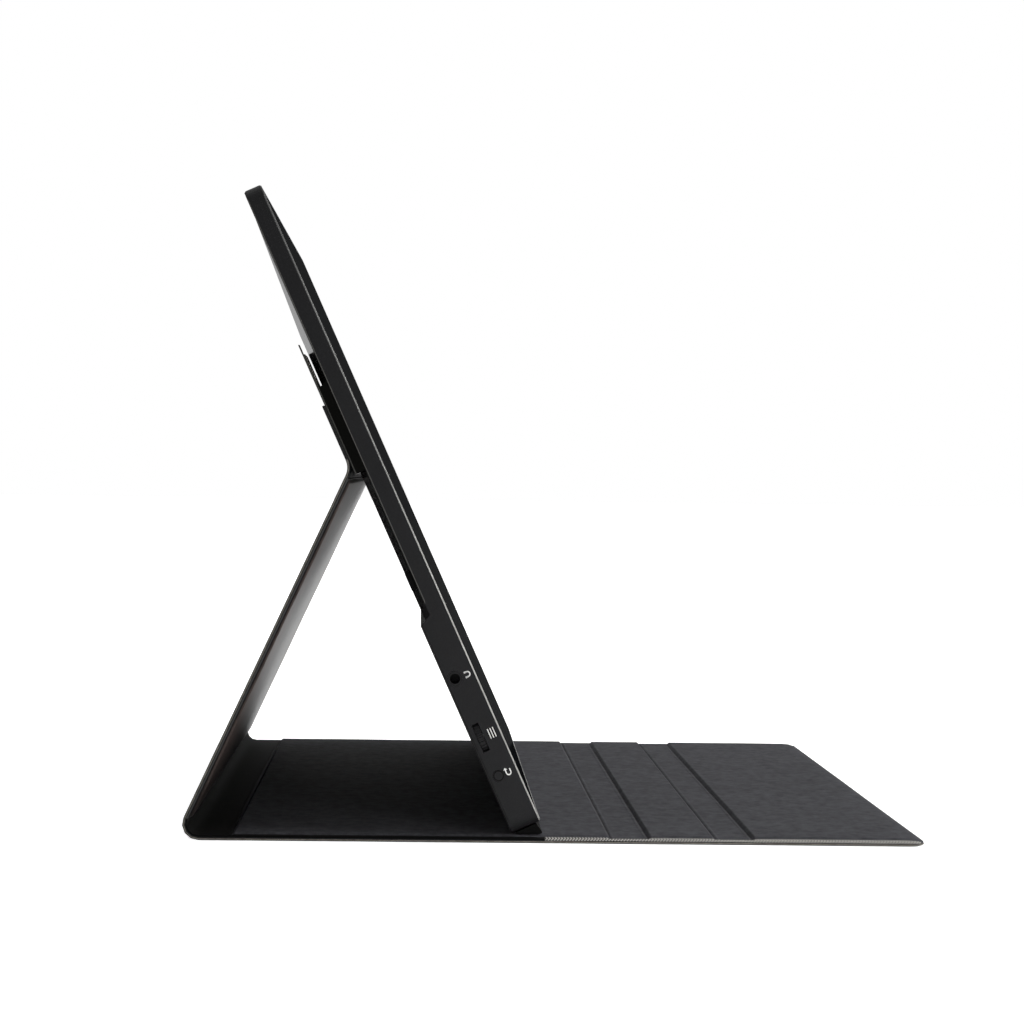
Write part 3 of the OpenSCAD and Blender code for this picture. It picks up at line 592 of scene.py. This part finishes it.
def innerLevel(x, along, half):
    # the lining's height: the band level, raised over each board with soft shoulders; at each panel
    # edge a bell-shaped groove with a slim ridge beside it; a slope down in the side margins; over
    # all of it faint waves, the product of a sine along and a sine across
    over = np.zeros_like(along)
    relief = np.zeros_like(along)
    for start, end in boardSpans:
        margin = cover["foldMargin"]
        last = cover["tipMargin"] if end == cover["floor"][5] else margin
        over = np.maximum(over, smoothStep((along - start) / margin) * smoothStep((end - along) / last))
        for edge in (start, end):
            if edge not in (cover["floor"][5], boardSpans[0][0]):
                away = np.abs(along - edge)
                fromRidge = (away - panelEdge["ridgeAway"]) / panelEdge["ridgeWidth"]
                relief -= panelEdge["groove"] * np.exp(-(away / panelEdge["grooveWidth"]) ** 2)
                relief += panelEdge["ridge"] * np.exp(-fromRidge ** 2)
    side = smoothStep((half - np.abs(x)) / cover["sideMargin"])
    waves = waviness["height"] * np.sin(along / waviness["along"] + 1.3 * np.sin(x / waviness["drift"]))
    waves = waves * np.sin(x / waviness["across"] + 0.6)
    board = (cover["boardLevel"] - cover["bandLevel"] - waviness["room"]) * over
    return cover["bandLevel"] + (board + relief + waves) * side


def skinPiece(name, start, end, finish):
    # the outer skin between two places on its path: the middle height plus and minus half the
    # thickness, which draws in a little at the cut edges
    along = alongPoints(start, end)
    share = acrossPoints()
    half = halfWidthAt(along)
    x = share[:, None] * half[None, :]
    a = np.broadcast_to(along, x.shape)
    distance = np.minimum(half - np.abs(x), cover["floor"][5] - a)
    thick = cover["skin"] * edgeRound(distance, cover["cutRound"], cover["cutShare"]) / 2
    middle = cover["skin"] / 2
    return closedSheet(name, coverPoint(x, a, middle + thick), coverPoint(x, a, middle - thick),
                       finishes[finish], finishes["cut"])


def liningPiece(name, start, end, finish):
    # the lining between two places: its face follows innerLevel, its back lies on the skin
    inset = 0.25
    edges = [e for span in boardSpans for e in span]
    along = alongPoints(start, end, edges)
    last = cover["floor"][5]
    if end == last:
        along = along * (last - inset - start) / (last - start) + start * inset / (last - start)
    share = acrossPoints(inset)
    half = halfWidthAt(along, inset)
    x = share[:, None] * half[None, :]
    a = np.broadcast_to(along, x.shape)
    low = cover["skin"] + 0.02
    distance = np.minimum(half - np.abs(x), last - inset - a)
    top = low + (innerLevel(x, a, half) - low) * edgeRound(distance, 0.4)
    return closedSheet(name, coverPoint(x, a, top), coverPoint(x, a, low), finishes[finish])


floor = cover["floor"]
skinStart = legStart - cover["legLength"] + cover["creaseLap"]
liningStart = legStart - cover["legLiningEnd"]
coverPieces = [
    # piece, maker, start, end, body or pair of bodies, CAD nodes that it stands for, finish
    ("legSkin", skinPiece, skinStart, legStart, "leg", ["leg_outer_skin"], "leather"),
    ("spineSkin", skinPiece, legStart, floor[0], ("base", "leg"), ["spine_band"], "leather"),
    ("baseSkin", skinPiece, floor[0], floor[1], "base", ["base_outer_skin"], "leather"),
    ("foldOneSkin", skinPiece, floor[1], floor[2], ("base", "panel_2"), ["fold_1_band"], "leather"),
    ("panelTwoSkin", skinPiece, floor[2], floor[3], "panel_2", ["panel_2_outer_skin"], "leather"),
    ("foldTwoSkin", skinPiece, floor[3], floor[4], ("panel_2", "panel_3"), ["fold_2_band"], "leather"),
    ("tipSkin", skinPiece, floor[4], floor[5], "panel_3", ["panel_3_outer_skin"], "leather"),
    ("legLining", liningPiece, liningStart, legStart, "leg", ["leg_lining"], "legLining"),
    ("spineLining", liningPiece, legStart, floor[0], ("base", "leg"), [], "spineLining"),
    ("baseLining", liningPiece, floor[0], floor[1], "base", ["base_lining"], "lining"),
    ("foldOneLining", liningPiece, floor[1], floor[2], ("base", "panel_2"), [], "lining"),
    ("panelTwoLining", liningPiece, floor[2], floor[3], "panel_2", ["panel_2_lining"], "lining"),
    ("foldTwoLining", liningPiece, floor[3], floor[4], ("panel_2", "panel_3"), [], "lining"),
    ("tipLining", liningPiece, floor[4], floor[5], "panel_3", ["panel_3_lining"], "lining"),
]
for name, make, start, end, body, stoodFor, finish in coverPieces:
    piece = make(name, start, end, finish)
    if isinstance(body, str):
        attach(piece, body)
    elif body[1] == "leg":
        tuple(coverPoint(0, -cover["stripLength"], 0.0) / 1000)
        tuple(coverPoint(0, legStart, 0.0) / 1000)
        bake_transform(piece)
    else:
        tuple(coverPoint(0, start, 0.8) / 1000)
        tuple(coverPoint(0, end, 0.8) / 1000)
        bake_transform(piece)
    if stoodFor:
        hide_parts(*stoodFor)
print("cover panels, bands and spine")


def creaseLine(t, rise):
    # a curve from the leg to the flap, drawn towards the crease corner: (1-t) squared, 2t(1-t) and
    # t squared weigh its two ends and the corner; rise goes from there to the screen's side
    corner = onMonitor(0, cover["creaseDepth"], cover["creaseHeight"])[1:]
    down = np.array([math.cos(legAngle), -math.sin(legAngle)])
    up = np.array([math.sin(lean), math.cos(lean)])
    start, end = corner + cover["creaseLap"] * down, corner + cover["creaseLap"] * up
    t = t[..., None]
    line = (1 - t) ** 2 * start + 2 * t * (1 - t) * corner + t ** 2 * end
    slope = (1 - t) * (corner - start) + t * (end - corner)
    slope /= np.linalg.norm(slope, axis=-1, keepdims=True)
    inward = np.stack([-slope[..., 1], slope[..., 0]], -1)
    return line + rise[..., None] * inward


def creasePiece():
    # the soft fold between leg and flap: creaseLine plus and minus half the skin's thickness
    share = acrossPoints()
    half = cover["width"] / 2
    x, t = np.meshgrid(share * half, np.linspace(0, 1, 17), indexing="ij")
    thick = cover["skin"] * edgeRound(half - np.abs(x), cover["cutRound"], cover["cutShare"]) / 2
    middle = cover["skin"] / 2
    top = creaseLine(t, middle + thick)
    bottom = creaseLine(t, middle - thick)
    return closedSheet("creaseSkin", np.concatenate([x[..., None], top], -1),
                       np.concatenate([x[..., None], bottom], -1), finishes["leather"], finishes["cut"])


crease = creasePiece()
corner = onMonitor(0, cover["creaseDepth"], cover["creaseHeight"])
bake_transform(crease)
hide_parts("crease_band")


def flapPiece():
    # the flap glued on the bracket: the cut edge at its upper end is rounded
    share = acrossPoints()
    half = cover["width"] / 2
    low = cover["creaseHeight"] + cover["creaseLap"]
    heights = np.concatenate([np.linspace(low, cover["flapHigh"] - 1, 10),
                              cover["flapHigh"] - np.array([0.6, 0.35, 0.2, 0.1, 0.04, 0])])
    x, h = np.meshgrid(share * half, heights, indexing="ij")
    distance = np.minimum(half - np.abs(x), cover["flapHigh"] - h)
    thick = cover["skin"] * edgeRound(distance, 0.3) / 2
    middle = cover["creaseDepth"] - cover["skin"] / 2
    return closedSheet("flapSkin", onMonitor(x, middle + thick, h), onMonitor(x, middle - thick, h),
                       finishes["leather"])


flap = flapPiece()
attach(flap, "monitor")
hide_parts("flap_skin")
print("crease and flap")


marks = {
    "side": -187.0, "proud": 0.03, "stroke": 0.42,
    "headphone": (2.75, 57.3), "menu": (3.2, 35.3), "back": (3.35, 20.4),   # depth, height
    "archRadius": 0.88, "archLeg": 0.75, "padStroke": 0.64, "padBack": 0.55, "padOn": 0.25,
    "barLength": 3.6, "barStep": 0.94, "barStroke": 0.34,
    "hookRadius": 0.8, "hookLeg": 1.2, "arrow": 0.72,
}


def strokeOnSide(name, line, width):
    # a flat stroke on the left side face: the line's points, widened across its own direction
    line = np.asarray(line, float)
    slope = np.gradient(line, axis=0)
    slope /= np.linalg.norm(slope, axis=1, keepdims=True)
    across = np.stack([-slope[:, 1], slope[:, 0]], -1) * np.reshape(width, (-1, 1)) / 2
    both = np.stack([line - across, line + across], 0)
    top = onMonitor(marks["side"] - marks["proud"], both[..., 0], both[..., 1])
    bottom = onMonitor(marks["side"] + 0.02, both[..., 0], both[..., 1])
    piece = closedSheet(name, top, bottom, finishes["mark"])
    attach(piece, "monitor")
    return piece


def archLine(centre, radius, leg, towards):
    # two straight legs joined by half a circle, as (depth, height); towards is the side that the
    # bow of it points to: (-1, 0) is to the front and (0, -1) is down
    turn = np.linspace(-math.pi / 2, math.pi / 2, 21)
    arch = np.stack([radius * np.cos(turn), radius * np.sin(turn)], -1)
    line = np.concatenate([[[-leg, -radius]], arch, [[-leg, radius]]])
    a, b = towards
    return np.array(centre) + line @ np.array([[a, b], [-b, a]])


d, h = marks["headphone"]
arch = archLine((d, h), marks["archRadius"], marks["archLeg"], (-1, 0))
strokeOnSide("headphoneMark", arch, marks["stroke"])
padEnd = d + marks["archLeg"]
for k in (-1, 1):
    side = h + k * marks["archRadius"]
    pad = [[padEnd - marks["padBack"], side], [padEnd + marks["padOn"], side]]
    strokeOnSide("headphonePad.%d" % (k + 2), pad, marks["padStroke"])
d, h = marks["menu"]
for k in (-1, 0, 1):
    barPlace = d + k * marks["barStep"]
    bar = [[barPlace, h - marks["barLength"] / 2], [barPlace, h + marks["barLength"] / 2]]
    strokeOnSide("menuMark.%d" % (k + 2), bar, marks["barStroke"])
d, h = marks["back"]
hook = archLine((d, h), marks["hookRadius"], marks["hookLeg"], (0, -1))
strokeOnSide("backMark", hook, marks["stroke"])
side = d + marks["hookRadius"]
tip = h + marks["hookLeg"] + marks["arrow"]
strokeOnSide("backArrow", [[side, tip - marks["arrow"]], [side, tip]], [2 * marks["arrow"], 0.06])
print("marks")


studio = {
    "floorColour": 0.86, "floorSize": 12000.0, "floorDrop": 0.15,    # half the width, and below the cover
    "nearGlow": 0.72, "farGlow": 1.0, "glowFrom": 0.7, "glowTo": 1.5,
    "worldOnObject": 0.27,
}
lamps = {
    # place, target, size in metres, power in watts, spread in degrees
    "keyLight": ((0, -1.2, 1.6), (0, 0, 0.05), 1.6, 34, 180),
    "sideLight": ((-1.1, -0.6, 0.15), (-0.187, -0.1, -0.08), 0.4, 0.5, 35),
    "rearLight": ((0.5, 1.7, 1.2), (0, 0.05, 0.1), 1.4, 15, 180),
}


def floorMaterial():
    # white to the camera and in reflections, with the object's shadow kept: the glow grows from
    # nearGlow to farGlow with the distance from the middle, so that no horizon shows
    s = Surface("whiteFloor", 0.1, Roughness=0.9)
    grey = studio["floorColour"]
    s.shader.inputs["Base Color"].default_value = (grey, grey, grey, 1)
    s.shader.inputs["Emission Color"].default_value = (1, 1, 1, 1)
    path = s.add("ShaderNodeLightPath")
    seen = s.maths("MAXIMUM", path.outputs["Is Camera Ray"],
                   s.maths("MAXIMUM", path.outputs["Is Glossy Ray"], path.outputs["Is Transmission Ray"]))
    away = s.add("ShaderNodeVectorMath", operation="LENGTH")
    s.link(s.place, away.inputs[0])
    glow = s.span(away.outputs["Value"], studio["nearGlow"], studio["farGlow"],
                  studio["glowFrom"], studio["glowTo"], "SMOOTHSTEP")
    s.link(s.maths("MULTIPLY", seen, glow), s.shader.inputs["Emission Strength"])
    return s.material


def makeStage():
    # the floor: one square a little below the cover
    corners = np.array([[-1, -1], [1, -1], [1, 1], [-1, 1]]) * studio["floorSize"]
    points = np.column_stack([corners, np.full(4, -studio["floorDrop"])])
    floorPiece = newMesh("studioFloor", points, [[0, 1, 2, 3]])
    floorPiece.data.materials.append(floorMaterial())


def makeWorld():
    # white where it is seen, a part of that as light on the object
    world = bpy.data.worlds.new("studio")
    bpy.context.scene.world = world
    world.use_nodes = True
    tree = world.node_tree
    background = tree.nodes["Background"]
    path = tree.nodes.new("ShaderNodeLightPath")
    seen = path.outputs["Is Camera Ray"]
    for key in ("Is Glossy Ray", "Is Transmission Ray"):
        either = tree.nodes.new("ShaderNodeMath")
        either.operation = "MAXIMUM"
        tree.links.new(seen, either.inputs[0])
        tree.links.new(path.outputs[key], either.inputs[1])
        seen = either.outputs[0]
    level = tree.nodes.new("ShaderNodeMapRange")
    level.inputs["To Min"].default_value = studio["worldOnObject"]
    level.inputs["To Max"].default_value = 1.0
    tree.links.new(seen, level.inputs["Value"])
    tree.links.new(level.outputs["Result"], background.inputs["Strength"])
    background.inputs["Color"].default_value = (1, 1, 1, 1)


def areaLight(name, place, target, size, power, spread):
    # a square lamp whose own Z points away from its target
    data = bpy.data.lights.new(name, "AREA")
    data.energy = power
    data.size = size
    data.spread = math.radians(spread)
    lamp = bpy.data.objects.new(name, data)
    bpy.context.scene.collection.objects.link(lamp)
    place, target = np.array(place, float), np.array(target, float)
    away = (place - target) / np.linalg.norm(place - target)
    side = np.cross([0.0, 0.0, 1.0], away)
    side /= np.linalg.norm(side)
    up = np.cross(away, side)
    lamp.matrix_world = Matrix([[side[i], up[i], away[i], place[i]] for i in range(3)] + [[0, 0, 0, 1]])


view = {
    "place": (-1.239536, 0.048385, 0.128133),
    "yaw": -1.735, "pitch": 0.747, "roll": 0.740,      # degrees, from looking along +X
    "focal": 3048.216,                                # in pixels of a 1024 pixel wide picture
}


def makeCamera():
    # forward from yaw and pitch, then the two other axes turned by the roll
    a, b, r = (math.radians(view[k]) for k in ("yaw", "pitch", "roll"))
    forward = np.array([math.cos(a) * math.cos(b), math.sin(a) * math.cos(b), -math.sin(b)])
    right = np.cross(forward, [0, 0, 1])
    right /= np.linalg.norm(right)
    up = np.cross(right, forward)
    right, up = right * math.cos(r) + up * math.sin(r), -right * math.sin(r) + up * math.cos(r)
    data = bpy.data.cameras.new("photoCamera")
    data.sensor_width = 36
    data.lens = view["focal"] / 1024 * 36
    data.clip_start, data.clip_end = 0.05, 50
    camera = bpy.data.objects.new("photoCamera", data)
    bpy.context.scene.collection.objects.link(camera)
    camera.matrix_world = Matrix([[right[i], up[i], -forward[i], view["place"][i]] for i in range(3)]
                                 + [[0, 0, 0, 1]])
    bpy.context.scene.camera = camera


makeStage()
makeWorld()
for name, lamp in lamps.items():
    areaLight(name, *lamp)
makeCamera()
bpy.context.scene.view_settings.view_transform = "Standard"
print("stage, light and camera")
